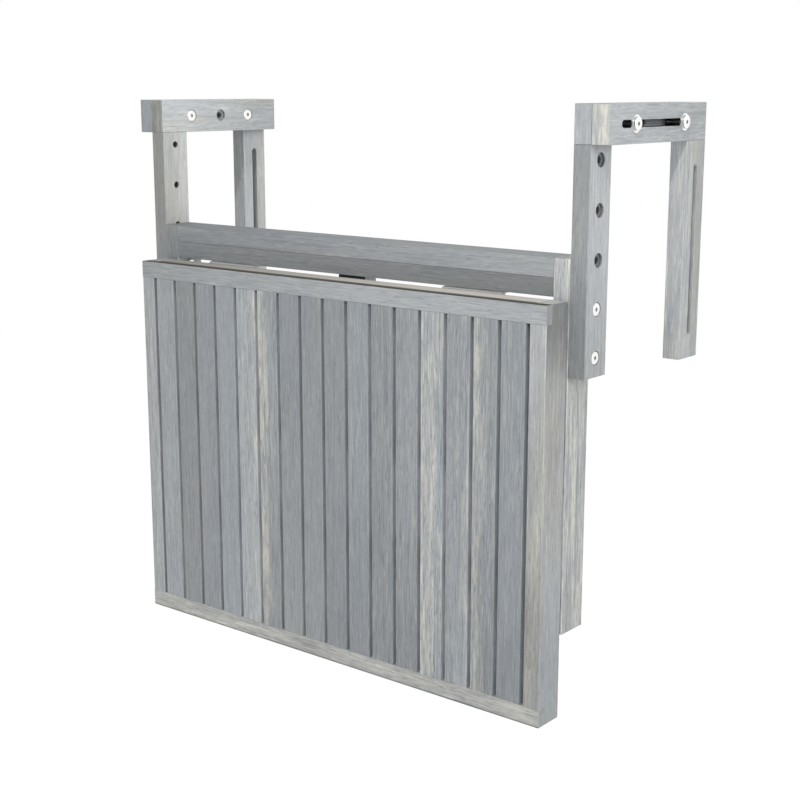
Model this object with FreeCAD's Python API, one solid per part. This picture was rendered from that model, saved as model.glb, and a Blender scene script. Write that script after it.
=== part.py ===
import FreeCAD, Part
import math
import os

# Balcony bar table: a slatted leaf that folds down in front of a frame hung from two railing hooks.
# Lengths are millimetres. X runs along the railing, Y points away from the user and Z is up.
# The origin is the middle of the railing's front top edge: the back plane of the front posts (Y = 0),
# the underside of the hook arms (Z = 0) and the table's centre plane (X = 0).

# Leaf
LEAF_WIDTH = 600.0
LEAF_HEIGHT = 450.0
LEAF_THICKNESS = 38.0
LEAF_STILE_WIDTH = 20.0
FACE_THICKNESS = 10.0
FACE_RAIL_HEIGHT = 20.0
SLAT_COUNT = 16
SLAT_GAP = 5.0
BATTEN_HEIGHT = 40.0
CROSS_BATTEN_HEIGHT = 40.0
CROSS_BATTEN_THICKNESS = 9.0
CROSS_BATTEN_DROPS = (172.0, 297.0)   # centre lines below the leaf's top edge
TENON_LENGTH = 6.0

# Frame behind the leaf
STILE_WIDTH = 20.0
STILE_DEPTH = 40.0
STILE_LENGTH = 400.0
STILE_ABOVE_BOLT = 51.5               # stile top above its upper bolt
TOP_RAIL_HEIGHT = 20.0
HINGE_RAIL_HEIGHT = 20.0
HINGE_RAIL_SETBACK = 0.5
BOTTOM_RAIL_HEIGHT = 20.0
UPRIGHT_WIDTH = 40.0
UPRIGHT_THICKNESS = 20.0
UPRIGHT_SETBACK = 10.0

# Railing hooks
POST_THICKNESS = 20.0
POST_DEPTH = 40.0
HOLE_PITCH = 50.0
HOLE_COUNT = 5
FIRST_HOLE_DROP = 15.0                # below the arm's underside
LAST_HOLE_RISE = 20.0                 # above the post's lower end
FRAME_BOLT_COUNT = 2                  # the frame hangs on this many of the lowest holes
ARM_THICKNESS = 20.0
ARM_HEIGHT = 40.0
ARM_LENGTH = 200.0
ARM_HOLE_PITCH = 50.0
ARM_HOLE_COUNT = 3                    # the first and last of them take bolts
HOOK_TRAVEL = 22.0
REAR_SLOT_MARGIN = 25.0               # solid wood above and below the rear post's slot

# Connector bolts, sleeve nuts and washers
BOLT_RADIUS = 3.0
BOLT_LENGTH = 32.0
HEAD_RADIUS = 7.0
HEAD_THICKNESS = 2.5
HEAD_ROUNDING = 0.75
HEX_WIDTH = 4.0
HEX_DEPTH = 1.6
SLEEVE_RADIUS = 3.8
SLEEVE_LENGTH = 14.0
SLEEVE_CLEARANCE = 0.2
COUNTERBORE_CLEARANCE = 0.5
COUNTERBORE_DEPTH = 3.0
WASHER_RADIUS = 9.0
WASHER_THICKNESS = 1.5

# Leaf hinges
HINGE_DISTANCE = 120.0                # from the leaf's end to the hinge's middle
HINGE_LENGTH = 78.0
HINGE_PLATE_REACH = 29.0              # from the pin's axis to the plate's edge
HINGE_PLATE_THICKNESS = 1.5
KNUCKLE_COUNT = 5
KNUCKLE_RADIUS = 2.1
KNUCKLE_GAP = 0.2
BARREL_CLEARANCE = 0.15
PLATE_CLEARANCE = 0.4
PIN_RADIUS = 1.2
PIN_CLEARANCE = 0.05
PIN_OVERHANG = 2.0
OPEN_GAP = 1.0                        # leaf edge to frame front when the leaf is up

# Wood screws of the hinges and slats
SCREW_LENGTH = 16.0
SCREW_RADIUS = 1.6
SCREW_HEAD_RADIUS = 3.4
SCREW_HEAD_HEIGHT = 2.0
SCREW_POINT = 3.0
SCREW_TIP_RADIUS = 0.3
HINGE_SCREW_PITCH = 26.0
HINGE_SCREW_STAGGER = 4.0
RECESS_WIDTH = 0.8
RECESS_DEPTH = 0.9

# Dowels
DOWEL_RADIUS = 4.0
DOWEL_LENGTH = 30.0
DOWEL_SPACING = 22.0
GLUE_GAP = 0.05                       # round a dowel or screw in its hole

# Fold-down prop
PROP_REACH = 125.0                    # from the leaf's hinge to the prop's pivot, along the leaf
PROP_LENGTH = 198.0                   # from the pivot to the foot pin
LEG_WIDTH = 18.0
LEG_THICKNESS = 16.0
LEG_INSET = 2.0                       # the folded legs lie this far inside the leaf's back
LEG_SIDE_CLEARANCE = 4.0
CROSSBAR_RADIUS = 9.0
CROSSBAR_END_GAP = 1.0
JOURNAL_RADIUS = 6.0
JOURNAL_LENGTH = 12.0
JOURNAL_CLEARANCE = 0.08
LEG_TENON_RADIUS = 5.0
LEG_TENON_LENGTH = 10.0
FOOT_PIN_RADIUS = 5.0
FOOT_PIN_END_GAP = 3.0
NOTCH_CLEARANCE = 0.5
CATCH_THICKNESS = 18.0
CATCH_HEIGHT = 48.0
CATCH_DEPTH = 36.0
CATCH_SEAT_DEPTH = 10.0               # pin seat behind the frame's front
CATCH_DOWEL_SPACING = 28.0

# Rounding of the wood's edges
EASE = 1.0
SLAT_EASE = 0.6
UPPER_RAIL_EASE = 0.4                 # the two upper rails meet with hardly a groove

# Places that several pieces share
HALF_WIDTH = LEAF_WIDTH / 2
FRAME_INSIDE = HALF_WIDTH - STILE_WIDTH
LEAF_INSIDE = HALF_WIDTH - LEAF_STILE_WIDTH
HOLE_RADIUS = SLEEVE_RADIUS + SLEEVE_CLEARANCE
COUNTERBORE_RADIUS = HEAD_RADIUS + COUNTERBORE_CLEARANCE
AXIS_OFFSET = KNUCKLE_RADIUS + BARREL_CLEARANCE

POST_LENGTH = FIRST_HOLE_DROP + HOLE_PITCH * (HOLE_COUNT - 1) + LAST_HOLE_RISE
POST_OUTSIDE = HALF_WIDTH + POST_THICKNESS
ARM_OUTSIDE = POST_OUTSIDE + ARM_THICKNESS
POST_MIDDLE_Y = -POST_DEPTH / 2
ARM_FRONT = -POST_DEPTH
ARM_BACK = ARM_FRONT + ARM_LENGTH
ARM_MIDDLE_Z = ARM_HEIGHT / 2
REAR_POST_Y = ARM_BACK - POST_DEPTH / 2
POST_HOLES_Z = [-FIRST_HOLE_DROP - HOLE_PITCH * i for i in range(HOLE_COUNT)]
FRAME_BOLTS_Z = POST_HOLES_Z[-FRAME_BOLT_COUNT:]
ARM_HOLES_Y = [ARM_FRONT + ARM_HOLE_PITCH * (i + 1) for i in range(ARM_HOLE_COUNT)]
ARM_BOLTS_Y = [ARM_HOLES_Y[0], ARM_HOLES_Y[-1]]

FRAME_FRONT = -STILE_DEPTH
FRAME_TOP = FRAME_BOLTS_Z[0] + STILE_ABOVE_BOLT
FRAME_BOTTOM = FRAME_TOP - STILE_LENGTH
HINGE_RAIL_TOP = FRAME_TOP - TOP_RAIL_HEIGHT
HINGE_RAIL_UNDER = HINGE_RAIL_TOP - HINGE_RAIL_HEIGHT
HINGE_RAIL_FRONT = FRAME_FRONT + HINGE_RAIL_SETBACK
BOTTOM_RAIL_TOP = FRAME_BOTTOM + BOTTOM_RAIL_HEIGHT
UPRIGHT_FRONT = FRAME_FRONT + UPRIGHT_SETBACK

HINGE_OFFSET = HALF_WIDTH - HINGE_DISTANCE
HINGE_Y = FRAME_FRONT - OPEN_GAP
HINGE_Z = HINGE_RAIL_UNDER - AXIS_OFFSET
LEAF_TOP = HINGE_Z
LEAF_BOTTOM = LEAF_TOP - LEAF_HEIGHT
LEAF_BACK = HINGE_Y - AXIS_OFFSET
LEAF_FRONT = LEAF_BACK - LEAF_THICKNESS
FACE_BACK = LEAF_FRONT + FACE_THICKNESS
CROSS_BATTEN_BACK = FACE_BACK + CROSS_BATTEN_THICKNESS
SLATS_TOP = LEAF_TOP - FACE_RAIL_HEIGHT
SLATS_BOTTOM = LEAF_BOTTOM + FACE_RAIL_HEIGHT
SLAT_WIDTH = (2 * LEAF_INSIDE - SLAT_GAP * (SLAT_COUNT + 1)) / SLAT_COUNT
SLAT_STARTS = [-LEAF_INSIDE + SLAT_GAP + (SLAT_WIDTH + SLAT_GAP) * i for i in range(SLAT_COUNT)]
CROSS_BATTENS_Z = [LEAF_TOP - drop for drop in CROSS_BATTEN_DROPS]

PIVOT_Y = LEAF_BACK - LEG_INSET - LEG_THICKNESS / 2
PIVOT_Z = HINGE_Z - PROP_REACH
LEG_OUTSIDE = FRAME_INSIDE - CATCH_THICKNESS - LEG_SIDE_CLEARANCE

# With the leaf up, what lay below the hinge points at the user and what lay in front of it is above
RAISED_PIVOT = (HINGE_Y + (PIVOT_Z - HINGE_Z), HINGE_Z - (PIVOT_Y - HINGE_Y))
SEAT_Y = FRAME_FRONT + CATCH_SEAT_DEPTH
SEAT_Z = RAISED_PIVOT[1] - math.sqrt(PROP_LENGTH ** 2 - (SEAT_Y - RAISED_PIVOT[0]) ** 2)

AXES = {"x": FreeCAD.Vector(1, 0, 0), "y": FreeCAD.Vector(0, 1, 0), "z": FreeCAD.Vector(0, 0, 1)}
parts = {}


def box(x, y, z):
    """A block between the low and high value on each axis."""
    return Part.makeBox(x[1] - x[0], y[1] - y[0], z[1] - z[0], FreeCAD.Vector(x[0], y[0], z[0]))


def board(x, y, z, grain, ease=EASE, ends=False):
    """A batten whose edges along the grain are rounded, and its end edges too where they are free."""
    solid = box(x, y, z)
    long_edges = [edge for edge in solid.Edges if runs_along(edge, AXES[grain])]
    return solid.makeFillet(ease, solid.Edges if ends else long_edges)


def runs_along(edge, direction):
    span = edge.Vertexes[1].Point - edge.Vertexes[0].Point
    return abs(span.dot(direction)) > 0.9 * span.Length


def rod(start, axis, radius, length):
    """A cylinder from a point, along +x, +y or +z."""
    return Part.makeCylinder(radius, length, FreeCAD.Vector(*start), AXES[axis])


def prism_x(outline, x_low, x_high):
    """A solid between two X values with a straight-sided outline of (y, z) points."""
    corners = [FreeCAD.Vector(x_low, y, z) for y, z in outline]
    face = Part.Face(Part.makePolygon(corners + corners[:1]))
    return face.extrude(FreeCAD.Vector(x_high - x_low, 0, 0))


def slot_x(x, y, z, radius):
    """A round-ended slot through X; y and z are the low and high centres of its ends."""
    ends = [rod((x[0], y[i], z[i]), "x", radius, x[1] - x[0]) for i in (0, 1)]
    if y[0] == y[1]:
        middle = box(x, (y[0] - radius, y[0] + radius), z)
    else:
        middle = box(x, y, (z[0] - radius, z[0] + radius))
    return middle.fuse(ends).removeSplitter()


def mirrored(shape):
    """The other hand of a piece, across the table's centre plane."""
    return shape.mirror(FreeCAD.Vector(0, 0, 0), AXES["x"])


def both_sides(shapes):
    return list(shapes) + [mirrored(shape) for shape in shapes]


def grown_dowels(dowels):
    """The holes that dowels need: each on its dowel's axis, wider and longer by the glue gap."""
    return [rod(tuple(hole_start(dowel)), dowel[1], DOWEL_RADIUS + GLUE_GAP, DOWEL_LENGTH + 2 * GLUE_GAP)
            for dowel in dowels]


def hole_start(dowel):
    start, axis = dowel
    return FreeCAD.Vector(*start) - AXES[axis] * GLUE_GAP


def dowel_solids(dowels):
    return [rod(start, axis, DOWEL_RADIUS, DOWEL_LENGTH) for start, axis in dowels]


def across_x(dowels):
    """Dowels along X on the other side of the centre plane."""
    return [((-start[0] - DOWEL_LENGTH, start[1], start[2]), axis) for start, axis in dowels]


def keep(name, shape):
    """Store a node: one solid, or a group of separate solids."""
    solids = shape if isinstance(shape, list) else shape.Solids
    solids = [solid for item in solids for solid in item.Solids]
    parts[name] = solids[0] if len(solids) == 1 else Part.makeCompound(solids)


def keep_pair(name, right):
    keep(name + "_right", right)
    keep(name + "_left", mirrored(right))


def screw(place, outwards, extra=0.0):
    """A countersunk wood screw whose head is flush at a place; it points against outwards."""
    head = Part.makeCone(SCREW_HEAD_RADIUS + extra, SCREW_RADIUS + extra, SCREW_HEAD_HEIGHT)
    shank_length = SCREW_LENGTH - SCREW_POINT
    shank = Part.makeCylinder(SCREW_RADIUS + extra, shank_length)
    point = Part.makeCone(SCREW_RADIUS + extra, SCREW_TIP_RADIUS + extra, SCREW_POINT + extra,
                          FreeCAD.Vector(0, 0, shank_length))
    solid = head.fuse([shank, point]).removeSplitter()
    if not extra:
        solid = solid.cut(cross_recess())
    solid.Placement = FreeCAD.Placement(place, FreeCAD.Rotation(AXES["z"], outwards * -1))
    return solid


def cross_recess():
    half = SCREW_RADIUS
    wide = (-RECESS_WIDTH / 2, RECESS_WIDTH / 2)
    return box((-half, half), wide, (0, RECESS_DEPTH)).fuse(box(wide, (-half, half), (0, RECESS_DEPTH)))


def hex_socket(x_face, y, z, inward):
    """A hexagonal key socket in a head's face, sunk along X."""
    corner = HEX_WIDTH / math.sqrt(3)
    angles = [math.radians(60 * i) for i in range(6)]
    outline = [(y + corner * math.cos(a), z + corner * math.sin(a)) for a in angles]
    return prism_x(outline, x_face, x_face + inward * HEX_DEPTH)


def flanged(x_face, inward, y, z, radius, length):
    """A flat round head with a stem: the head's outer face is at x_face and the stem runs inward."""
    head = rod((min(x_face, x_face + inward * HEAD_THICKNESS), y, z), "x", HEAD_RADIUS, HEAD_THICKNESS)
    outer = head.Edges[0] if abs(head.Edges[0].BoundBox.XMin - x_face) < 0.01 else head.Edges[2]
    head = head.makeFillet(HEAD_ROUNDING, [outer])
    stem_start = x_face + inward * HEAD_THICKNESS
    stem = rod((min(stem_start, stem_start + inward * length), y, z), "x", radius, length)
    return head.fuse(stem).cut(hex_socket(x_face, y, z, inward))


def connector_bolt(x_seat, inward, y, z):
    """A bolt whose head seats at x_seat and whose stem runs inward."""
    return flanged(x_seat - inward * HEAD_THICKNESS, inward, y, z, BOLT_RADIUS, BOLT_LENGTH)


def sleeve_nut(x_seat, inward, y, z):
    """A sleeve nut whose head seats at x_seat and whose threaded sleeve runs inward over a bolt."""
    solid = flanged(x_seat - inward * HEAD_THICKNESS, inward, y, z, SLEEVE_RADIUS, SLEEVE_LENGTH)
    bore_end = x_seat + inward * SLEEVE_LENGTH
    bore = rod((min(x_seat, bore_end), y, z), "x", BOLT_RADIUS + GLUE_GAP, SLEEVE_LENGTH)
    return solid.cut(bore)


def counterbored(x_face, inward, thickness, y, z):
    """The cutter for a through hole with a wide mouth at x_face."""
    mouth_end = x_face + inward * COUNTERBORE_DEPTH
    mouth = rod((min(x_face, mouth_end), y, z), "x", COUNTERBORE_RADIUS, COUNTERBORE_DEPTH)
    far = x_face + inward * thickness
    return mouth.fuse(rod((min(x_face, far), y, z), "x", HOLE_RADIUS, thickness))


# Where the dowels go. Each is a start point and an axis.
def pair_along_depth(x_start, z):
    """Two dowels along X, one before and one behind the middle of the frame's depth."""
    middle = -STILE_DEPTH / 2
    return [((x_start, middle + side * DOWEL_SPACING / 2, z), "x") for side in (-1, 1)]


HALF_DOWEL = DOWEL_LENGTH / 2
TOP_RAIL_MIDDLE = FRAME_TOP - TOP_RAIL_HEIGHT / 2
HINGE_RAIL_MIDDLE = HINGE_RAIL_TOP - HINGE_RAIL_HEIGHT / 2
BOTTOM_RAIL_MIDDLE = FRAME_BOTTOM + BOTTOM_RAIL_HEIGHT / 2
UPRIGHT_MIDDLE_Y = UPRIGHT_FRONT + UPRIGHT_THICKNESS / 2
RAIL_DOWELS = [dowel for z in (TOP_RAIL_MIDDLE, HINGE_RAIL_MIDDLE, BOTTOM_RAIL_MIDDLE)
               for dowel in pair_along_depth(FRAME_INSIDE - HALF_DOWEL, z)]
UPRIGHT_DOWELS = [((side * UPRIGHT_WIDTH / 4, UPRIGHT_MIDDLE_Y, z - HALF_DOWEL), "z")
                  for side in (-1, 1) for z in (HINGE_RAIL_UNDER, BOTTOM_RAIL_TOP)]
CATCH_BACK = FRAME_FRONT + CATCH_DEPTH
CATCH_DOWEL_Y = CATCH_BACK - 2 * DOWEL_RADIUS
CATCH_DOWELS = [((FRAME_INSIDE - HALF_DOWEL, CATCH_DOWEL_Y, SEAT_Z + side * CATCH_DOWEL_SPACING / 2), "x")
                for side in (-1, 1)]
POST_DOWEL_X = HALF_WIDTH + POST_THICKNESS / 2
POST_DOWELS = [((POST_DOWEL_X, POST_MIDDLE_Y + side * DOWEL_SPACING / 2, -HALF_DOWEL), "z")
               for side in (-1, 1)]
REAR_DOWEL_X = POST_OUTSIDE + ARM_THICKNESS / 2
REAR_POST_DOWELS = [((REAR_DOWEL_X, REAR_POST_Y + side * DOWEL_SPACING / 2, -HALF_DOWEL), "z")
                    for side in (-1, 1)]
BATTEN_MIDDLE_Y = (FACE_BACK + LEAF_BACK) / 2
BATTENS_MIDDLE_Z = (LEAF_TOP - BATTEN_HEIGHT / 2, LEAF_BOTTOM + BATTEN_HEIGHT / 2)
LEAF_DOWELS = [((LEAF_INSIDE - HALF_DOWEL, BATTEN_MIDDLE_Y, z + side * DOWEL_SPACING / 2), "x")
               for z in BATTENS_MIDDLE_Z for side in (-1, 1)]


def make_front_posts():
    post = board((HALF_WIDTH, POST_OUTSIDE), (-POST_DEPTH, 0), (-POST_LENGTH, 0), "z")
    holes = [counterbored(POST_OUTSIDE, -1, POST_THICKNESS, POST_MIDDLE_Y, z) for z in POST_HOLES_Z]
    keep_pair("front_post", post.cut(holes + grown_dowels(POST_DOWELS)))


def make_inner_arms():
    arm = board((HALF_WIDTH, POST_OUTSIDE), (ARM_FRONT, ARM_BACK), (0, ARM_HEIGHT), "y", ends=True)
    holes = [counterbored(HALF_WIDTH, 1, POST_THICKNESS, y, ARM_MIDDLE_Z) for y in ARM_HOLES_Y]
    keep_pair("inner_arm", arm.cut(holes + grown_dowels(POST_DOWELS)))


def make_outer_arms():
    width = (POST_OUTSIDE, ARM_OUTSIDE)
    arm = board(width, (ARM_FRONT, ARM_BACK), (0, ARM_HEIGHT), "y", ends=True)
    slot_ends = (ARM_BOLTS_Y[0] - HOOK_TRAVEL, ARM_BOLTS_Y[-1])
    slot = slot_x(width, slot_ends, (ARM_MIDDLE_Z, ARM_MIDDLE_Z), HOLE_RADIUS)
    keep_pair("outer_arm", arm.cut([slot] + grown_dowels(REAR_POST_DOWELS)))


def make_rear_posts():
    width = (POST_OUTSIDE, ARM_OUTSIDE)
    post = board(width, (ARM_BACK - POST_DEPTH, ARM_BACK), (-POST_LENGTH, 0), "z")
    slot_ends = (-POST_LENGTH + REAR_SLOT_MARGIN + HOLE_RADIUS, -REAR_SLOT_MARGIN - HOLE_RADIUS)
    slot = slot_x(width, (REAR_POST_Y, REAR_POST_Y), slot_ends, HOLE_RADIUS)
    keep_pair("rear_post", post.cut([slot] + grown_dowels(REAR_POST_DOWELS)))
    rear_dowels = dowel_solids(REAR_POST_DOWELS)
    keep("rear_dowels_right", rear_dowels)
    keep("rear_dowels_left", [mirrored(dowel) for dowel in rear_dowels])


def make_connectors():
    """Bolts with sleeve nuts: two join each front post to the frame and two join each pair of arms."""
    bolts, nuts, washers = [], [], []
    for z in FRAME_BOLTS_Z:
        bolts.append(connector_bolt(POST_OUTSIDE - COUNTERBORE_DEPTH, -1, POST_MIDDLE_Y, z))
        nuts.append(sleeve_nut(FRAME_INSIDE, 1, POST_MIDDLE_Y, z))
    for y in ARM_BOLTS_Y:
        bolts.append(connector_bolt(HALF_WIDTH + COUNTERBORE_DEPTH, 1, y, ARM_MIDDLE_Z))
        nuts.append(sleeve_nut(ARM_OUTSIDE + WASHER_THICKNESS, -1, y, ARM_MIDDLE_Z))
        washer = rod((ARM_OUTSIDE, y, ARM_MIDDLE_Z), "x", WASHER_RADIUS, WASHER_THICKNESS)
        hole = rod((ARM_OUTSIDE, y, ARM_MIDDLE_Z), "x", HOLE_RADIUS, WASHER_THICKNESS)
        washers.append(washer.cut(hole))
    keep("connector_bolts", both_sides(bolts))
    keep("sleeve_nuts", both_sides(nuts))
    keep("washers", both_sides(washers))


def make_frame_stiles():
    stile = board((FRAME_INSIDE, HALF_WIDTH), (FRAME_FRONT, 0), (FRAME_BOTTOM, FRAME_TOP), "z")
    holes = [rod((FRAME_INSIDE, POST_MIDDLE_Y, z), "x", HOLE_RADIUS, STILE_WIDTH) for z in FRAME_BOLTS_Z]
    keep_pair("frame_stile", stile.cut(holes + grown_dowels(RAIL_DOWELS + CATCH_DOWELS)))


def make_frame_rails(frame_screws):
    across = (-FRAME_INSIDE, FRAME_INSIDE)
    side_dowels = grown_dowels(RAIL_DOWELS + across_x(RAIL_DOWELS))
    top = board(across, (FRAME_FRONT, 0), (HINGE_RAIL_TOP, FRAME_TOP), "x", ease=UPPER_RAIL_EASE)
    keep("frame_top_rail", top.cut(side_dowels))
    hinge_rail = board(across, (HINGE_RAIL_FRONT, 0), (HINGE_RAIL_UNDER, HINGE_RAIL_TOP), "x",
                       ease=UPPER_RAIL_EASE)
    keep("frame_hinge_rail", hinge_rail.cut(side_dowels + grown_dowels(UPRIGHT_DOWELS) + frame_screws))
    bottom = board(across, (FRAME_FRONT, 0), (FRAME_BOTTOM, BOTTOM_RAIL_TOP), "x")
    keep("frame_bottom_rail", bottom.cut(side_dowels + grown_dowels(UPRIGHT_DOWELS)))


def make_upright():
    half = UPRIGHT_WIDTH / 2
    depth = (UPRIGHT_FRONT, UPRIGHT_FRONT + UPRIGHT_THICKNESS)
    upright = board((-half, half), depth, (BOTTOM_RAIL_TOP, HINGE_RAIL_UNDER), "z")
    keep("frame_centre_upright", upright.cut(grown_dowels(UPRIGHT_DOWELS)))


def make_prop_catches():
    """Blocks on the stiles with a sloping notch that takes the prop's foot pin."""
    thickness = (FRAME_INSIDE - CATCH_THICKNESS, FRAME_INSIDE)
    height = (SEAT_Z - CATCH_HEIGHT / 2, SEAT_Z + CATCH_HEIGHT / 2)
    block = board(thickness, (FRAME_FRONT, CATCH_BACK), height, "z")
    wide = FOOT_PIN_RADIUS + NOTCH_CLEARANCE
    start = (thickness[0], RAISED_PIVOT[0], RAISED_PIVOT[1])
    path = rod(start, "x", PROP_LENGTH + wide, CATCH_THICKNESS)
    path = path.cut(rod(start, "x", PROP_LENGTH - wide, CATCH_THICKNESS))
    along = ((SEAT_Y - RAISED_PIVOT[0]) / PROP_LENGTH, (SEAT_Z - RAISED_PIVOT[1]) / PROP_LENGTH)
    back = (along[1], -along[0])
    reach = PROP_LENGTH + CATCH_HEIGHT
    side = CATCH_HEIGHT + CATCH_DEPTH
    outline = [(RAISED_PIVOT[0] + along[0] * a + back[0] * b, RAISED_PIVOT[1] + along[1] * a + back[1] * b)
               for a, b in ((0, 0), (reach, 0), (reach, side), (0, side))]
    approach = path.common(prism_x(outline, *thickness))
    seat = rod((thickness[0], SEAT_Y, SEAT_Z), "x", wide, CATCH_THICKNESS)
    keep_pair("prop_catch", block.cut([approach.fuse(seat)] + grown_dowels(CATCH_DOWELS)))


def make_frame_dowels():
    handed = dowel_solids(RAIL_DOWELS + CATCH_DOWELS + POST_DOWELS)
    keep("frame_dowels", both_sides(handed) + dowel_solids(UPRIGHT_DOWELS))


def hinge_screws(side, extra=0.0):
    """The screws of one hinge: those up into the hinge rail and those into the leaf."""
    into_rail, into_leaf = [], []
    middle = (AXIS_OFFSET + HINGE_PLATE_REACH) / 2
    for i in (-1, 0, 1):
        x = side * HINGE_OFFSET + i * HINGE_SCREW_PITCH
        stagger = HINGE_SCREW_STAGGER * (1 if i else -1)
        under = FreeCAD.Vector(x, HINGE_Y + middle + stagger, HINGE_RAIL_UNDER - HINGE_PLATE_THICKNESS)
        behind = FreeCAD.Vector(x, LEAF_BACK + HINGE_PLATE_THICKNESS, HINGE_Z - middle - stagger)
        into_rail.append(screw(under, AXES["z"] * -1, extra))
        into_leaf.append(screw(behind, AXES["y"], extra))
    return into_rail, into_leaf


def make_hinge(name, side, rail_holes, leaf_holes):
    x_start = side * HINGE_OFFSET - HINGE_LENGTH / 2
    x_end = x_start + HINGE_LENGTH
    pitch = HINGE_LENGTH / KNUCKLE_COUNT
    free = KNUCKLE_RADIUS + PLATE_CLEARANCE
    rail_face = (HINGE_RAIL_UNDER - HINGE_PLATE_THICKNESS, HINGE_RAIL_UNDER)
    leaf_face = (LEAF_BACK, LEAF_BACK + HINGE_PLATE_THICKNESS)
    frame_plate = [box((x_start, x_end), (HINGE_Y + free, HINGE_Y + HINGE_PLATE_REACH), rail_face)]
    leaf_plate = [box((x_start, x_end), leaf_face, (HINGE_Z - HINGE_PLATE_REACH, HINGE_Z - free))]
    for i in range(KNUCKLE_COUNT):
        low = x_start + pitch * i + KNUCKLE_GAP / 2
        knuckle = rod((low, HINGE_Y, HINGE_Z), "x", KNUCKLE_RADIUS, pitch - KNUCKLE_GAP)
        across = (low, low + pitch - KNUCKLE_GAP)
        if i % 2:
            leaf_plate += [knuckle, box(across, leaf_face, (HINGE_Z - free, HINGE_Z))]
        else:
            frame_plate += [knuckle, box(across, (HINGE_Y, HINGE_Y + free), rail_face)]
    bore = rod((x_start, HINGE_Y, HINGE_Z), "x", PIN_RADIUS + PIN_CLEARANCE, HINGE_LENGTH)
    for body, plate, holes in (("frame", frame_plate, rail_holes), ("leaf", leaf_plate, leaf_holes)):
        whole = plate[0].fuse(plate[1:]).removeSplitter()
        keep("hinge_%s_plate_%s" % (body, name), whole.cut([bore] + holes))
    pin_start = x_start - PIN_OVERHANG
    return rod((pin_start, HINGE_Y, HINGE_Z), "x", PIN_RADIUS, HINGE_LENGTH + 2 * PIN_OVERHANG)


def make_hinges():
    """Both hinges. Returns the holes that their screws need in the hinge rail and in the leaf."""
    pins, rail_screws, leaf_screws, rail_holes, leaf_holes = [], [], [], [], []
    for name, side in (("left", -1), ("right", 1)):
        into_rail, into_leaf = hinge_screws(side)
        rail_cut, leaf_cut = hinge_screws(side, GLUE_GAP)
        pins.append(make_hinge(name, side, rail_cut, leaf_cut))
        rail_screws += into_rail
        leaf_screws += into_leaf
        rail_holes += rail_cut
        leaf_holes += leaf_cut
    keep("hinge_pins", pins)
    keep("hinge_rail_screws", rail_screws)
    return rail_holes, leaf_holes, leaf_screws


def make_leaf_stiles():
    stile = board((LEAF_INSIDE, HALF_WIDTH), (LEAF_FRONT, LEAF_BACK), (LEAF_BOTTOM, LEAF_TOP), "z")
    across = (LEAF_INSIDE, HALF_WIDTH)
    lap_heights = ((LEAF_BOTTOM, SLATS_BOTTOM), (SLATS_TOP, LEAF_TOP))
    laps = [box(across, (LEAF_FRONT, FACE_BACK), height) for height in lap_heights]
    mortises = [box((LEAF_INSIDE, LEAF_INSIDE + TENON_LENGTH), (FACE_BACK, CROSS_BATTEN_BACK),
                    (z - CROSS_BATTEN_HEIGHT / 2, z + CROSS_BATTEN_HEIGHT / 2)) for z in CROSS_BATTENS_Z]
    hole_length = JOURNAL_LENGTH - CROSSBAR_END_GAP + GLUE_GAP
    journal = rod((LEAF_INSIDE, PIVOT_Y, PIVOT_Z), "x", JOURNAL_RADIUS + JOURNAL_CLEARANCE, hole_length)
    keep_pair("leaf_stile", stile.cut(laps + mortises + [journal] + grown_dowels(LEAF_DOWELS)))


def make_face_rails():
    across = (-HALF_WIDTH, HALF_WIDTH)
    for name, z in (("top", (SLATS_TOP, LEAF_TOP)), ("bottom", (LEAF_BOTTOM, SLATS_BOTTOM))):
        keep("leaf_face_rail_" + name, board(across, (LEAF_FRONT, FACE_BACK), z, "x", ease=SLAT_EASE))


def make_battens(leaf_holes):
    across = (-LEAF_INSIDE, LEAF_INSIDE)
    dowels = grown_dowels(LEAF_DOWELS + across_x(LEAF_DOWELS))
    top = board(across, (FACE_BACK, LEAF_BACK), (LEAF_TOP - BATTEN_HEIGHT, LEAF_TOP), "x")
    keep("leaf_batten_top", top.cut(dowels + leaf_holes))
    bottom = board(across, (FACE_BACK, LEAF_BACK), (LEAF_BOTTOM, LEAF_BOTTOM + BATTEN_HEIGHT), "x")
    keep("leaf_batten_bottom", bottom.cut(dowels))
    solids = dowel_solids(LEAF_DOWELS)
    keep("leaf_dowels", both_sides(solids))


def make_slats(hinge_leaf_screws):
    """Slats with the two cross battens behind them, screwed together from the back."""
    screws, holes = [], []
    for start in SLAT_STARTS:
        for z in CROSS_BATTENS_Z:
            place = FreeCAD.Vector(start + SLAT_WIDTH / 2, CROSS_BATTEN_BACK, z)
            screws.append(screw(place, AXES["y"]))
            holes.append(screw(place, AXES["y"], GLUE_GAP))
    for i, start in enumerate(SLAT_STARTS):
        slat = board((start, start + SLAT_WIDTH), (LEAF_FRONT, FACE_BACK), (SLATS_BOTTOM, SLATS_TOP), "z",
                     ease=SLAT_EASE)
        keep("slat_%02d" % (i + 1), slat.cut(holes[2 * i:2 * i + 2]))
    half = CROSS_BATTEN_HEIGHT / 2
    across = (-LEAF_INSIDE - TENON_LENGTH, LEAF_INSIDE + TENON_LENGTH)
    for name, z in zip(("upper", "lower"), CROSS_BATTENS_Z):
        batten = box(across, (FACE_BACK, CROSS_BATTEN_BACK), (z - half, z + half))
        keep("leaf_cross_batten_" + name, batten.cut(holes))
    keep("leaf_screws", screws + hinge_leaf_screws)


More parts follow.
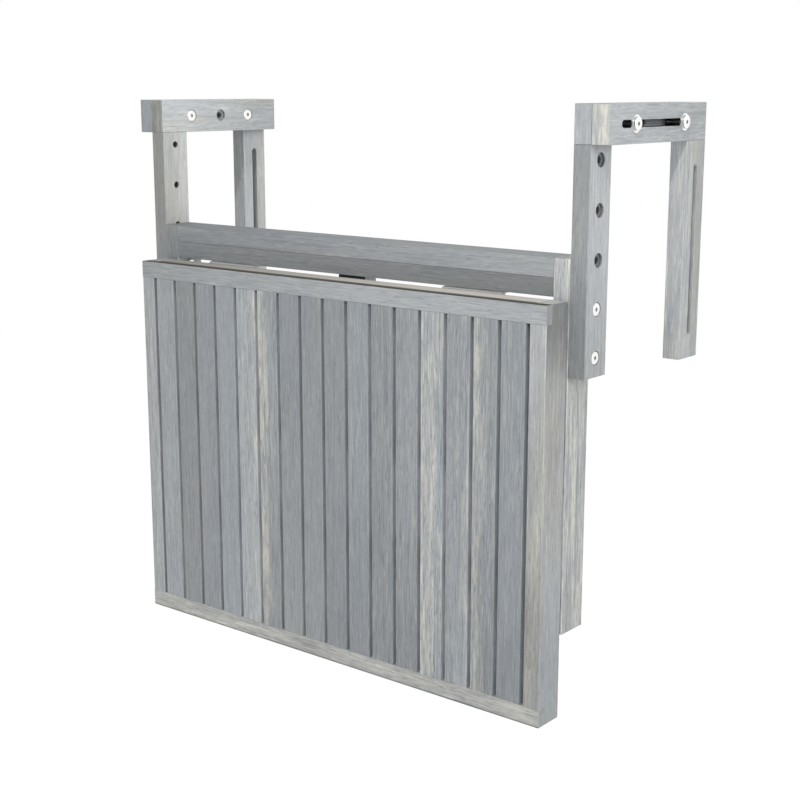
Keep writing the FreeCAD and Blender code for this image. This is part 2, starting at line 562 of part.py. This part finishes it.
def make_prop():
    """A round crossbar that turns in the leaf's stiles and carries two legs with pins at their feet."""
    shoulder = LEAF_INSIDE - CROSSBAR_END_GAP
    bar = rod((-shoulder, PIVOT_Y, PIVOT_Z), "x", CROSSBAR_RADIUS, 2 * shoulder)
    tip = shoulder + JOURNAL_LENGTH
    bar = bar.fuse(rod((-tip, PIVOT_Y, PIVOT_Z), "x", JOURNAL_RADIUS, 2 * tip))
    leg_x = (LEG_OUTSIDE - LEG_WIDTH, LEG_OUTSIDE)
    tenon_start = (sum(leg_x) / 2, PIVOT_Y, PIVOT_Z - CROSSBAR_RADIUS)
    tenon = rod(tenon_start, "z", LEG_TENON_RADIUS, LEG_TENON_LENGTH)
    keep("prop_crossbar", bar.cut(both_sides([tenon])))

    foot_z = PIVOT_Z - PROP_LENGTH
    half = LEG_THICKNESS / 2
    shank = board(leg_x, (PIVOT_Y - half, PIVOT_Y + half), (foot_z, PIVOT_Z - LEG_TENON_RADIUS), "z")
    foot = rod((leg_x[0], PIVOT_Y, foot_z), "x", half, LEG_WIDTH)
    foot = foot.makeFillet(EASE, [edge for edge in foot.Edges if edge.Closed])
    cope = rod((leg_x[0], PIVOT_Y, PIVOT_Z), "x", CROSSBAR_RADIUS, LEG_WIDTH)
    pin_end = FRAME_INSIDE - FOOT_PIN_END_GAP
    pin = rod((leg_x[0], PIVOT_Y, foot_z), "x", FOOT_PIN_RADIUS, pin_end - leg_x[0])
    keep_pair("prop_leg", shank.fuse(foot).cut([cope, pin]).fuse(tenon))
    keep("prop_foot_pins", both_sides([pin]))


def make_all():
    rail_holes, leaf_holes, leaf_screws = make_hinges()
    make_front_posts()
    make_inner_arms()
    make_outer_arms()
    make_rear_posts()
    make_connectors()
    make_frame_stiles()
    make_frame_rails(rail_holes)
    make_upright()
    make_prop_catches()
    make_frame_dowels()
    make_leaf_stiles()
    make_face_rails()
    make_battens(leaf_holes)
    make_slats(leaf_screws)
    make_prop()


make_all()
os.makedirs("parts", exist_ok=True)
for node, shape in sorted(parts.items()):
    shape.exportStep("parts/%s.step" % node)
    print(node, len(shape.Solids), shape.isValid(), round(shape.Volume))
print("hinge axis y, z", HINGE_Y, HINGE_Z)
print("prop pivot y, z", PIVOT_Y, PIVOT_Z)
prop_lean = math.atan2(SEAT_Y - RAISED_PIVOT[0], RAISED_PIVOT[1] - SEAT_Z)
print("prop folded-out angle", 90 + math.degrees(prop_lean))
print("foot pin seat y, z", SEAT_Y, SEAT_Z)
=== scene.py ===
import math

import bpy
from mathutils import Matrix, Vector


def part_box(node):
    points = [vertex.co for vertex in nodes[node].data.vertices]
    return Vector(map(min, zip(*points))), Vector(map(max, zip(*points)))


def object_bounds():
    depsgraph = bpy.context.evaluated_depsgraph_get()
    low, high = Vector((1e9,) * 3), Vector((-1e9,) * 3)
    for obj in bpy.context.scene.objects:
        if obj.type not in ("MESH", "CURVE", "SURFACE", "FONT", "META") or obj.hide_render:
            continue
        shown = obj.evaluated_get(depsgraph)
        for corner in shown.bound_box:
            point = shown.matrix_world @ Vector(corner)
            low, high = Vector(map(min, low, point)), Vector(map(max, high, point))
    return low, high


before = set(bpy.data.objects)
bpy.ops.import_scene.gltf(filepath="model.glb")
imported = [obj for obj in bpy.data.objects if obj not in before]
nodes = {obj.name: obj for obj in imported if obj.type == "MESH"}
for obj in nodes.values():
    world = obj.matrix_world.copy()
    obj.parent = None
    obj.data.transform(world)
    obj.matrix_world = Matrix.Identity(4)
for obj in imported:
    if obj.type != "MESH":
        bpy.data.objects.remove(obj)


def plain_box():
    low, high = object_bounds()
    return [list(map(float, low)), list(map(float, high))]


cad_box = plain_box()
scene = bpy.context.scene
scene.view_settings.view_transform = "Standard"


# Shader trees

class Nodes:
    """Short names for building a node tree."""

    def __init__(self, tree):
        self.tree = tree

    def new(self, kind, **settings):
        node = self.tree.nodes.new(kind)
        for key, value in settings.items():
            setattr(node, key, value)
        return node

    def link(self, source, target):
        self.tree.links.new(source, target)

    def fill(self, socket, value):
        """Give a socket a link, a number or a colour."""
        if isinstance(value, (int, float)):
            socket.default_value = value
        elif isinstance(value, tuple):
            socket.default_value = (*value, 1) if len(socket.default_value) == 4 else value
        else:
            self.link(value, socket)

    def axes(self, vector):
        """The three components of a vector."""
        node = self.new("ShaderNodeSeparateXYZ")
        self.link(vector, node.inputs["Vector"])
        return list(node.outputs)

    def mapping(self, vector, scale, location):
        node = self.new("ShaderNodeMapping")
        node.inputs["Scale"].default_value = scale
        node.inputs["Location"].default_value = location
        self.link(vector, node.inputs["Vector"])
        return node.outputs["Vector"]

    def noise(self, vector, scale, detail, roughness=0.55, distortion=0.0):
        node = self.new("ShaderNodeTexNoise")
        node.inputs["Scale"].default_value = scale
        node.inputs["Detail"].default_value = detail
        node.inputs["Roughness"].default_value = roughness
        node.inputs["Distortion"].default_value = distortion
        self.link(vector, node.inputs["Vector"])
        return node.outputs["Fac"]

    def math(self, operation, a, b=None, c=None, clamp=False):
        node = self.new("ShaderNodeMath", operation=operation, use_clamp=clamp)
        for socket, value in zip(node.inputs, (a, b, c)):
            if value is not None:
                self.fill(socket, value)
        return node.outputs["Value"]

    def remap(self, value, low, high, to_low=0.0, to_high=1.0):
        node = self.new("ShaderNodeMapRange")
        for name, number in (("From Min", low), ("From Max", high), ("To Min", to_low), ("To Max", to_high)):
            node.inputs[name].default_value = number
        self.link(value, node.inputs["Value"])
        return node.outputs["Result"]

    def cover(self, noise, coat, contrast):
        """How far a coat covers the wood: not at all where its noise is low, and most where it is high."""
        low, high, most = coat
        return self.math("MULTIPLY", self.remap(noise, low, high), most * contrast, clamp=True)

    def mix(self, fac, a, b, blend="MIX"):
        node = self.new("ShaderNodeMix", data_type="RGBA", blend_type=blend)
        self.fill(node.inputs[0], fac)
        self.fill(node.inputs[6], a)
        self.fill(node.inputs[7], b)
        return node.outputs[2]

    def mix_vector(self, fac, a, b):
        node = self.new("ShaderNodeMix", data_type="VECTOR")
        self.fill(node.inputs[0], fac)
        self.link(a, node.inputs[4])
        self.link(b, node.inputs[5])
        return node.outputs[1]

    def bump(self, height, strength, distance):
        node = self.new("ShaderNodeBump")
        node.inputs["Strength"].default_value = strength
        node.inputs["Distance"].default_value = distance
        self.link(height, node.inputs["Height"])
        return node.outputs["Normal"]


def fresh_tree(owner, output):
    """The node tree of a material or the world, with nothing in it but its output node."""
    owner.use_nodes = True
    owner.node_tree.nodes.clear()
    n = Nodes(owner.node_tree)
    return n, n.new(output)


def material(name):
    mat = bpy.data.materials.new(name)
    n, out = fresh_tree(mat, "ShaderNodeOutputMaterial")
    shader = n.new("ShaderNodeBsdfPrincipled")
    n.link(shader.outputs["BSDF"], out.inputs["Surface"])
    return mat, n, shader


def linear(*display):
    """Display values from 0 to 255 as linear colour."""
    return tuple(((v / 255 + 0.055) / 1.055) ** 2.4 if v > 10 else v / 255 / 12.92 for v in display)


# Wood: the colours of the grey wash, of the bare wood under it and of what lies over it
BLUE = linear(153, 158, 163)
GREY = linear(158, 161, 163)
WARM = linear(161, 161, 157)
CREAM = linear(212, 210, 199)
DEEP = linear(110, 116, 121)
PALE = linear(205, 207, 206)
BARE = linear(206, 204, 192)
PORE = linear(93, 98, 103)

# The noises of the grain: scale along it, scale across it, detail, roughness and distortion
CLOUD = (3.0, 34.0, 2.0, 0.50, 0.0)
BANDS = (8.0, 100.0, 4.0, 0.60, 0.8)
STREAKS = (13.0, 430.0, 4.0, 0.62, 0.3)
STROKES = (60.0, 420.0, 3.0, 0.60, 0.4)
FIBRES = (48.0, 900.0, 3.0, 0.60, 0.0)
FLECKS = (80.0, 620.0, 2.0, 0.50, 0.2)

# The coats over the wash: the noise at which each starts and is full, and the most that it covers
STREAK_COAT = (0.46, 0.68, 0.50)
FIBRE_COAT = (0.50, 0.68, 0.42)
PORE_COAT = (0.58, 0.68, 0.34)

# The tone of the lower sides: where it starts and is full, as shares of the height, and how far it covers
LOW_SIDE = (0.60, 0.32)
LOW_SIDE_COVER = 0.75

# Between these two depths under a board's outer faces, in metres, a surface turns into the wall of a hole
HOLE_DEPTH = (0.0012, 0.0020)

# The least and most roughness
WOOD_ROUGHNESS = (0.62, 0.80)

# Seeds: the first one in a group of boards, and the step to the next
SLAT_SEEDS = (1.3, 3.7)
BOARD_SEEDS = (61.7, 5.3)
DOWEL_SEEDS = (311.0, 1.0)

AXIS = {"x": 0, "y": 1, "z": 2}


class Board:
    """The shader of one board: masks of its faces, places along it and the noises of its grain."""

    def __init__(self, node, grain, seed):
        self.mat, self.n, self.shader = material(node + "_wood")
        self.low, self.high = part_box(node)
        self.grain = AXIS[grain]
        source = self.n.new("ShaderNodeTexCoord")
        self.place = self.n.axes(source.outputs["Object"])
        self.find_faces(source.outputs["Normal"])
        self.find_grain(self.turned_on_ends(source.outputs["Object"]), seed)

    def find_faces(self, normal):
        """Masks of the ends of the grain, the sides, the fronts, the upward face and the rounded edges."""
        n = self.n
        facing = n.axes(normal)
        x, y, z = sizes = [n.math("ABSOLUTE", component) for component in facing]
        self.is_end = n.remap(sizes[self.grain], 0.80, 0.90)
        self.is_side = n.remap(x, 0.80, 0.90)
        self.is_front = n.remap(y, 0.30, 0.50)
        self.is_top = n.remap(facing[2], 0.45, 0.80)
        flat = n.math("MAXIMUM", n.math("MAXIMUM", x, y), z)
        self.is_edge = n.remap(flat, 0.80, 0.985, 1.0, 0.0)

    def turned_on_ends(self, coords):
        """On an end face the streaks stand upright, or run across where the board itself is upright."""
        turned = self.n.new("ShaderNodeCombineXYZ")
        order = ((2, 1, 0), (0, 2, 1), (0, 2, 1))[self.grain]
        for target, index in enumerate(order):
            self.n.link(self.place[index], turned.inputs[target])
        return self.n.mix_vector(self.is_end, coords, turned.outputs["Vector"])

    def find_grain(self, coords, seed):
        """The noises, stretched along the grain and moved by the seed, so that no two boards are alike."""
        shift = (seed * 0.371 % 7, seed * 0.593 % 5, seed * 0.817 % 9)

        def stretched(along, across, *settings):
            scale = [across] * 3
            scale[self.grain] = along
            return self.n.noise(self.n.mapping(coords, tuple(scale), shift), 1.0, *settings)

        self.cloud = stretched(*CLOUD)
        self.bands = stretched(*BANDS)
        self.streaks = stretched(*STREAKS)
        self.strokes = stretched(*STROKES)
        self.fibres = stretched(*FIBRES)
        self.flecks = stretched(*FLECKS)

    def fade(self, axis, clear, full):
        """0 to 1 along an axis, between two places given as shares of the board's size on it."""
        i = AXIS[axis]
        length = self.high[i] - self.low[i]
        return self.n.remap(self.place[i], self.low[i] + clear * length, self.low[i] + full * length)

    def inner_walls(self):
        """1 on the walls of holes and slots: the surface that lies well inside the outer faces."""
        n = self.n
        depths = []
        for i in range(3):
            middle = (self.low[i] + self.high[i]) / 2
            offset = n.math("ABSOLUTE", n.math("SUBTRACT", self.place[i], middle))
            depths.append(n.math("SUBTRACT", self.high[i] - middle, offset))
        nearest = n.math("MINIMUM", n.math("MINIMUM", depths[0], depths[1]), depths[2])
        return n.remap(nearest, *HOLE_DEPTH)

    def bare_patches(self, amount):
        """Long patches where the wash is worn off, broken up by short strokes. A larger amount has more."""
        n = self.n
        level = n.math("MULTIPLY_ADD", amount, 0.36, -0.68)
        patch = n.math("MULTIPLY", n.math("ADD", self.bands, level), 5.0, clamp=True)
        broken = n.math("MULTIPLY", patch, n.remap(self.strokes, 0.36, 0.58, 0.20, 1.0))
        return n.math("MULTIPLY", broken, n.math("MULTIPLY_ADD", amount, 0.5, 0.45, clamp=True), clamp=True)

    def bare_wood(self, cream, lean, end_cream, side_bare):
        """The bare patches of the whole board, with those of its ends and sides."""
        n = self.n
        if lean:
            across = n.remap(self.place[0], self.low[0], self.high[0], cream - lean, cream + lean)
            bare = self.bare_patches(n.math("MAXIMUM", across, 0.0))
        else:
            bare = self.bare_patches(cream)
        if end_cream is not None:
            difference = n.math("SUBTRACT", self.bare_patches(end_cream), bare)
            bare = n.math("MULTIPLY_ADD", difference, self.is_end, bare, clamp=True)
        if not side_bare:
            bare = n.math("MULTIPLY", bare, n.math("SUBTRACT", 1.0, self.is_side))
        return bare

    def fade_on(self, axis, clear, full, faces):
        """A fade on all faces, or on the sides or fronts alone."""
        mask = self.fade(axis, clear, full)
        if faces == "all":
            return mask
        return self.n.math("MULTIPLY", mask, self.is_side if faces == "sides" else self.is_front)

    def brightness(self, value, shades):
        """The board's brightness times that of each shade: a mask, and the brightness where the mask is 1."""
        for mask, there in shades:
            if there != 1.0:
                value = self.n.math("MULTIPLY", self.n.remap(mask, 0.0, 1.0, 1.0, there), value)
        return value if isinstance(value, bpy.types.NodeSocket) else (value,) * 3


def wood(node, grain, seed, tone, second, cream, contrast, value=1.0, lean=0.0, end_value=1.0, end_cream=None,
         side_value=1.0, side_bare=True, low_side_tone=None, top_value=1.0, top=None, top_amount=1.0,
         inside=1.0, fades=()):
    """Grey-washed hardwood. The grain runs along one axis; cream is how much bare wood shows in it.

    lean moves the bare wood to the right, or to the left where it is negative. The faces that the grain runs
    into, the faces to left and right, the upward face and the walls of holes have their own brightness, which
    is
    painted light and shade: faces made lighter or darker by which way they turn, and painted shade on the
    walls of holes, light where it is above 1. An upward face may have its own colour, which the boards that
    use it have as painted light and shade, and so may the lower part of the faces to left and right, which
    can also do without bare wood. A fade is an axis, where on it the change starts and ends, the brightness
    there, and
    the faces that have it: "all", "sides" for those to left and right, or "fronts" for front and back.
    """
    board = Board(node, grain, seed)
    n = board.n
    shader = board.shader

    base = n.mix(n.remap(board.cloud, 0.38, 0.62), tone, second)
    base = n.mix(board.bare_wood(cream, lean, end_cream, side_bare), base, CREAM)
    if low_side_tone is not None:
        low = n.math("MULTIPLY", board.fade("z", *LOW_SIDE), LOW_SIDE_COVER)
        base = n.mix(n.math("MULTIPLY", board.is_side, low), base, low_side_tone)
    base = n.mix(n.cover(board.streaks, STREAK_COAT, contrast), base, DEEP)
    base = n.mix(n.cover(board.fibres, FIBRE_COAT, contrast), base, PALE)
    pores = n.cover(board.flecks, PORE_COAT, contrast)
    base = n.mix(pores, base, PORE)
    worn = n.math("MULTIPLY", board.is_edge, n.remap(board.streaks, 0.40, 0.65, 0.0, 0.12), clamp=True)
    base = n.mix(worn, base, BARE)
    if top is not None:
        base = n.mix(n.math("MULTIPLY", board.is_top, top_amount), base, top)

    # Painted light and shade: a brightness for each way a face turns, and painted shade on the walls of holes
    shades = [(board.is_end, end_value), (board.is_side, side_value), (board.is_top, top_value)]
    if inside != 1.0:
        shades.append((board.inner_walls(), inside))
    for axis, clear, full, there, faces in fades:
        shades.append((board.fade_on(axis, clear, full, faces), there))
    n.link(n.mix(1.0, base, board.brightness(value, shades), "MULTIPLY"), shader.inputs["Base Color"])

    n.link(n.remap(board.streaks, 0.3, 0.7, *WOOD_ROUGHNESS), shader.inputs["Roughness"])
    shader.inputs["Specular IOR Level"].default_value = 0.28
    height = n.math("ADD", n.math("MULTIPLY", board.streaks, 0.6), n.math("MULTIPLY", board.fibres, 0.4))
    height = n.math("SUBTRACT", height, n.math("MULTIPLY", pores, 0.8))
    n.link(n.bump(height, strength=0.45, distance=0.0005), shader.inputs["Normal"])
    return board.mat


def seed_of(group, i):
    first, step = group
    return first + step * i


# Steel: tints, and the least and most roughness of what is polished
PLATED = (0.98, 0.98, 0.97)
DULL = (0.50, 0.50, 0.49)
DARK_STEEL = (0.40, 0.40, 0.39)
POLISHED = (0.16, 0.28)

# Shares of the tint in dull patches and off the head faces, where it is painted shade in the sockets and on
# the sides of the heads, and the distances from a head face, in metres, at which the second one starts and is
# full
DULL_PATCH = 0.90
SOCKET_SHADE = 0.50
HEAD_GAP = (0.0003, 0.0006)


def steel(name, tint, roughness, scale=900.0, head_faces=()):
    """Plated steel with fine turning marks and small dull patches.

    head_faces are the distances from the centre plane at which heads end: only there does the full tint hold,
    and off them it is darkened by painted shade in the sockets and on the sides of the heads.
    """
    mat, n, shader = material(name)
    coords = n.new("ShaderNodeTexCoord").outputs["Object"]
    marks = n.noise(coords, scale, 3.0, roughness=0.6)
    patches = n.noise(coords, scale * 0.12, 2.0)
    base = n.mix(n.remap(patches, 0.4, 0.7), tint, tuple(v * DULL_PATCH for v in tint))
    if head_faces:
        # Painted shade in the sockets and on the sides of the heads, off the head faces
        distance = n.math("ABSOLUTE", n.axes(coords)[0])
        gaps = [n.math("ABSOLUTE", n.math("SUBTRACT", distance, face)) for face in head_faces]
        socket_shade_mask = n.remap(n.math("MINIMUM", *gaps), *HEAD_GAP)
        base = n.mix(socket_shade_mask, base, tuple(v * SOCKET_SHADE for v in tint))
    n.link(base, shader.inputs["Base Color"])
    n.link(n.remap(marks, 0.3, 0.7, *roughness), shader.inputs["Roughness"])
    shader.inputs["Metallic"].default_value = 1.0
    n.link(n.bump(marks, strength=0.12, distance=0.0001), shader.inputs["Normal"])
    return mat


def put(node, mat):
    data = nodes[node].data
    data.materials.clear()
    data.materials.append(mat)


# Slats from left to right: main tone, second tone, bare wood, contrast, brightness, how far the bare wood
# leans to the right, and how bright the lower end is, which is painted shade
DARK, DIM, MID, LIGHT = 0.71, 0.79, 0.89, 1.02
SLATS = [
    (GREY, BLUE, 0.20, 0.8, MID, 0.0, 1.0), (GREY, GREY, 0.10, 0.7, DARK, 0.0, 1.0),
    (GREY, BLUE, 0.10, 0.7, DIM, 0.0, 0.98), (BLUE, BLUE, 0.12, 0.7, MID, 0.0, 1.0),
    (GREY, GREY, 0.32, 1.0, LIGHT, 0.35, 1.0), (BLUE, GREY, 0.38, 1.0, MID, -0.80, 0.80),
    (GREY, BLUE, 0.08, 0.7, DIM, 0.0, 1.0), (BLUE, GREY, 0.06, 0.7, DIM, 0.0, 1.0),
    (BLUE, GREY, 0.14, 0.8, DIM, 0.0, 0.90), (BLUE, BLUE, 0.12, 0.8, MID, 0.0, 0.80),
    (GREY, BLUE, 0.30, 0.9, DIM, 0.15, 0.90), (BLUE, GREY, 0.15, 0.9, MID, 0.20, 0.78),
    (GREY, BLUE, 0.72, 1.2, LIGHT, -0.10, 0.90), (GREY, BLUE, 0.40, 1.0, MID, 0.35, 1.0),
    (GREY, BLUE, 0.55, 1.0, MID, -0.45, 0.80), (BLUE, BLUE, 0.12, 0.8, MID, 0.0, 0.82),
]
for i, (*settings, lower_end) in enumerate(SLATS):
    name = "slat_%02d" % (i + 1)
    seed = seed_of(SLAT_SEEDS, i)
    fade = ("z", 0.60, 0.05, lower_end, "all")
    # The sides of the slats, seen down the gaps between them, are lifted by painted light
    put(name, wood(name, "z", seed, *settings, side_value=1.3, side_bare=False, fades=[fade]))

# The other boards: grain, main tone, second tone, bare wood, contrast, brightness
BOARDS = {
    "leaf_stile_left": ("z", GREY, GREY, 0.45, 0.9, 0.95),
    "leaf_stile_right": ("z", GREY, WARM, 0.42, 0.8, 1.18),
    "leaf_face_rail_top": ("x", GREY, GREY, 0.20, 0.7, 1.10),
    "leaf_face_rail_bottom": ("x", WARM, GREY, 0.55, 1.2, 0.98),
    "leaf_batten_top": ("x", WARM, WARM, 0.10, 0.6, MID),
    "leaf_batten_bottom": ("x", GREY, BLUE, 0.20, 0.9, MID),
    "leaf_cross_batten_upper": ("x", GREY, WARM, 0.20, 0.9, MID),
    "leaf_cross_batten_lower": ("x", GREY, BLUE, 0.20, 0.9, MID),
    "frame_top_rail": ("x", GREY, BLUE, 0.25, 0.7, 1.14),
    "frame_hinge_rail": ("x", GREY, BLUE, 0.10, 0.6, DARK),
    "frame_bottom_rail": ("x", GREY, BLUE, 0.20, 0.8, MID),
    "frame_centre_upright": ("z", GREY, WARM, 0.10, 0.8, MID),
    "frame_stile_left": ("z", GREY, GREY, 0.20, 0.7, DARK),
    "frame_stile_right": ("z", GREY, GREY, 0.75, 1.1, 1.34),
    "front_post_left": ("z", GREY, WARM, 0.22, 0.6, DARK),
    "front_post_right": ("z", GREY, GREY, 0.34, 0.7, 0.90),
    "inner_arm_left": ("y", WARM, GREY, 0.26, 0.7, 1.28),
    "inner_arm_right": ("y", GREY, BLUE, 0.20, 0.8, MID),
    "outer_arm_left": ("y", GREY, BLUE, 0.20, 0.8, MID),
    "outer_arm_right": ("y", GREY, GREY, 0.26, 0.8, 1.06),
    "rear_post_left": ("z", GREY, WARM, 0.28, 0.7, 0.87),
    "rear_post_right": ("z", GREY, WARM, 0.45, 0.9, 1.40),
    "prop_catch_left": ("z", GREY, BLUE, 0.10, 0.8, MID),
    "prop_catch_right": ("z", GREY, BLUE, 0.10, 0.8, MID),
    "prop_crossbar": ("x", GREY, WARM, 0.20, 0.8, MID),
    "prop_leg_left": ("z", GREY, BLUE, 0.20, 0.8, MID),
    "prop_leg_right": ("z", GREY, WARM, 0.20, 0.8, MID),
}

# What some of the boards have besides. Their end_value, side_value and top_value are painted light and shade
# by which way a face turns, and inside is painted shade on the walls of holes and slots, light where above 1.
# The constant below is the brightness of the walls of holes: painted shade.
HOLE_SHADE = 0.42
EXTRAS = {
    # leaf_face_rail_top: its dark upward face is painted shadow of the gap between it and the batten, and its
    # darker ends are painted shade
    "leaf_face_rail_top": {"top": linear(62, 58, 51), "end_value": 0.65,
                           "fades": [("x", 0.65, 0.0, 0.74, "all")]},
    # leaf_face_rail_bottom: the dark band along the lower edge of its front is painted shade on the rounded
    # edge
    "leaf_face_rail_bottom": {"end_value": 0.74, "end_cream": 0.0,
                              "fades": [("z", 0.14, 0.06, 0.48, "fronts")]},
    # leaf_batten_top: its light top colour is painted light on the upward face, and the dark strip at the
    # front of its top is painted shadow of the gap to the face rail
    "leaf_batten_top": {"top": linear(222, 218, 208), "top_amount": 0.8,
                        "fades": [("x", 0.75, 0.0, 0.50, "all"), ("y", 0.18, 0.10, 0.35, "all")]},
    # leaf_stile_right: the sides darken towards the top in painted shadow of the front post
    "leaf_stile_right": {"side_value": 0.95, "low_side_tone": BLUE,
                         "fades": [("z", 0.85, 0.15, 0.66, "all"), ("z", 0.30, 0.70, 0.74, "sides"),
                                   ("z", 0.80, 0.93, 0.60, "sides")]},
    "frame_top_rail": {"top_value": 0.72, "fades": [("x", 1.0, 0.0, 0.66, "all")]},
    # frame_centre_upright: painted light on its sides, and painted shade on the top of its front under the
    # hinge rail
    "frame_centre_upright": {"side_value": 1.51, "fades": [("z", 0.88, 0.95, 0.33, "fronts")]},
    "frame_stile_left": {"side_value": 2.00, "end_value": 0.70},
    "frame_stile_right": {"side_value": 0.61, "end_value": 0.70, "fades": [("z", 0.22, 0.02, 0.88, "sides")]},
    "front_post_left": {"side_value": 1.58, "inside": HOLE_SHADE, "fades": [("y", 0.25, 0.90, 1.18, "sides")]},
    "front_post_right": {"side_value": 1.15, "inside": HOLE_SHADE, "fades": [("z", 0.55, 0.05, 0.81, "all")]},
    "rear_post_left": {"side_value": 1.30, "inside": 1.20},
    "rear_post_right": {"side_value": 0.69, "inside": 0.80,
                        "fades": [("y", 0.45, 0.75, 0.86, "sides"), ("z", 0.45, 0.05, 0.82, "fronts")]},
    "outer_arm_right": {"end_value": 1.14, "end_cream": 0.95, "inside": 0.56,
                        "fades": [("y", 0.10, 0.75, 0.84, "sides")]},
    "inner_arm_right": {"end_value": 1.40, "end_cream": 0.30, "inside": HOLE_SHADE},
    "inner_arm_left": {"end_value": 0.45, "end_cream": 0.90, "inside": 0.65,
                       "fades": [("y", 0.15, 0.90, 0.76, "sides")]},
    "outer_arm_left": {"end_value": 0.97, "end_cream": 0.10, "inside": 0.56},
}
for i, (name, (grain, *settings)) in enumerate(BOARDS.items()):
    put(name, wood(name, grain, seed_of(BOARD_SEEDS, i), *settings, **EXTRAS.get(name, {})))

# Dowels of wood without the wash
YELLOW = linear(196, 170, 128)
LIGHT_YELLOW = linear(204, 180, 140)
for i, name in enumerate(("frame_dowels", "leaf_dowels", "rear_dowels_left", "rear_dowels_right")):
    put(name, wood(name, "x", seed_of(DOWEL_SEEDS, i), YELLOW, LIGHT_YELLOW, cream=0.1, contrast=0.5))

# Where the heads end, from the centre plane: those that face outward and those that face inward. Off these
# planes the steel is darkened by painted shade in the sockets and on the sides of the heads
HEAD_THICKNESS = 0.0025
SUNK_DEPTH = 0.0030
sunk = SUNK_DEPTH - HEAD_THICKNESS
bolt_faces = (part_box("front_post_right")[1][0] - sunk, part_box("inner_arm_right")[0][0] + sunk)
nut_faces = (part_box("sleeve_nuts")[1][0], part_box("frame_stile_right")[0][0] - HEAD_THICKNESS)
put("connector_bolts", steel("bolt_steel", PLATED, POLISHED, head_faces=bolt_faces))
put("sleeve_nuts", steel("nut_steel", PLATED, POLISHED, head_faces=nut_faces))
put("washers", steel("washer_steel", PLATED, POLISHED))
pin_steel = steel("pin_steel", DULL, (0.30, 0.45))
for name in ("prop_foot_pins", "hinge_pins"):
    put(name, pin_steel)
hinge_steel = steel("hinge_steel", DARK_STEEL, (0.38, 0.52), scale=600.0)
for name in ("hinge_frame_plate_left", "hinge_frame_plate_right", "hinge_leaf_plate_left",
             "hinge_leaf_plate_right", "hinge_rail_screws", "leaf_screws"):
    put(name, hinge_steel)


# Floor, world and lights
FLOOR_REACH = 14.0
FLOOR_DROP = 2.4
FLOOR_GLOW = 0.6
FLOOR_COLOUR = (0.98, 0.98, 0.98)
WORLD_COLOUR = (0.985, 0.992, 1.0)
WORLD_STRENGTH = 0.62
WHITE = (1.0, 1.0, 1.0)


def seen_directly(n):
    """1 for rays from the camera, from reflections and through glass."""
    path = n.new("ShaderNodeLightPath")
    seen = n.math("MAXIMUM", path.outputs["Is Camera Ray"], path.outputs["Is Glossy Ray"])
    return n.math("MAXIMUM", seen, path.outputs["Is Transmission Ray"])


def stage_material():
    """A pale floor that looks white where the light falls and keeps part of the object's shadow."""
    mat = bpy.data.materials.new("stage_pale")
    n, out = fresh_tree(mat, "ShaderNodeOutputMaterial")
    pale = n.new("ShaderNodeBsdfDiffuse")
    pale.inputs["Color"].default_value = (*FLOOR_COLOUR, 1)
    white = n.new("ShaderNodeEmission")
    white.inputs["Color"].default_value = (*WHITE, 1)
    white.inputs["Strength"].default_value = 1.0
    mix = n.new("ShaderNodeMixShader")
    n.link(n.math("MULTIPLY", seen_directly(n), FLOOR_GLOW), mix.inputs["Fac"])
    n.link(pale.outputs["BSDF"], mix.inputs[1])
    n.link(white.outputs["Emission"], mix.inputs[2])
    n.link(mix.outputs["Shader"], out.inputs["Surface"])
    return mat


def add_floor():
    mesh = bpy.data.meshes.new("stage_floor")
    z = cad_box[0][2] - FLOOR_DROP
    corners = [(x * FLOOR_REACH, y * FLOOR_REACH, z) for x, y in ((-1, -1), (1, -1), (1, 1), (-1, 1))]
    mesh.from_pydata(corners, [], [(0, 1, 2, 3)])
    floor = bpy.data.objects.new("stage_floor", mesh)
    scene.collection.objects.link(floor)
    mesh.materials.append(stage_material())


def add_world():
    """Soft light from all round, which the camera and reflections see as white."""
    world = bpy.data.worlds.new("studio")
    scene.world = world
    n, out = fresh_tree(world, "ShaderNodeOutputWorld")
    mix = n.new("ShaderNodeMixShader")
    n.link(seen_directly(n), mix.inputs["Fac"])
    for slot, colour, strength in ((1, WORLD_COLOUR, WORLD_STRENGTH), (2, WHITE, 1.0)):
        light = n.new("ShaderNodeBackground")
        light.inputs["Color"].default_value = (*colour, 1)
        light.inputs["Strength"].default_value = strength
        n.link(light.outputs["Background"], mix.inputs[slot])
    n.link(mix.outputs["Shader"], out.inputs["Surface"])


def add_sun(name, direction, strength, angle, colour=WHITE):
    light = bpy.data.lights.new(name, "SUN")
    light.energy = strength
    light.angle = math.radians(angle)
    light.color = colour
    lamp = bpy.data.objects.new(name, light)
    lamp.rotation_euler = Vector(direction).to_track_quat("-Z", "Y").to_euler()
    scene.collection.objects.link(lamp)


add_floor()
add_world()
add_sun("key_light", (-0.41, 0.90, -1.0), strength=1.3, angle=3.0, colour=(1.0, 0.99, 0.97))
add_sun("side_light", (-1.0, 0.05, -0.25), strength=1.45, angle=40.0, colour=(1.0, 1.0, 0.995))
add_sun("back_light", (0.1, -1.0, -0.3), strength=0.45, angle=40.0)


# Camera: the viewpoint that the photograph's edges give
CAMERA_PLACE = (1.0780, -1.2719, 0.0556)
CAMERA_TILT_DOWN = 12.23
CAMERA_TURN = 39.03
LENS = 64.99
SENSOR_WIDTH = 36.0


def add_camera():
    data = bpy.data.cameras.new("camera")
    data.lens = LENS
    data.sensor_width = SENSOR_WIDTH
    data.clip_start = 0.05
    data.clip_end = 50.0
    camera = bpy.data.objects.new("camera", data)
    camera.location = CAMERA_PLACE
    camera.rotation_euler = (math.radians(90 - CAMERA_TILT_DOWN), 0.0, math.radians(CAMERA_TURN))
    scene.collection.objects.link(camera)
    bpy.context.scene.camera = camera


add_camera()

bpy.context.view_layer.update()
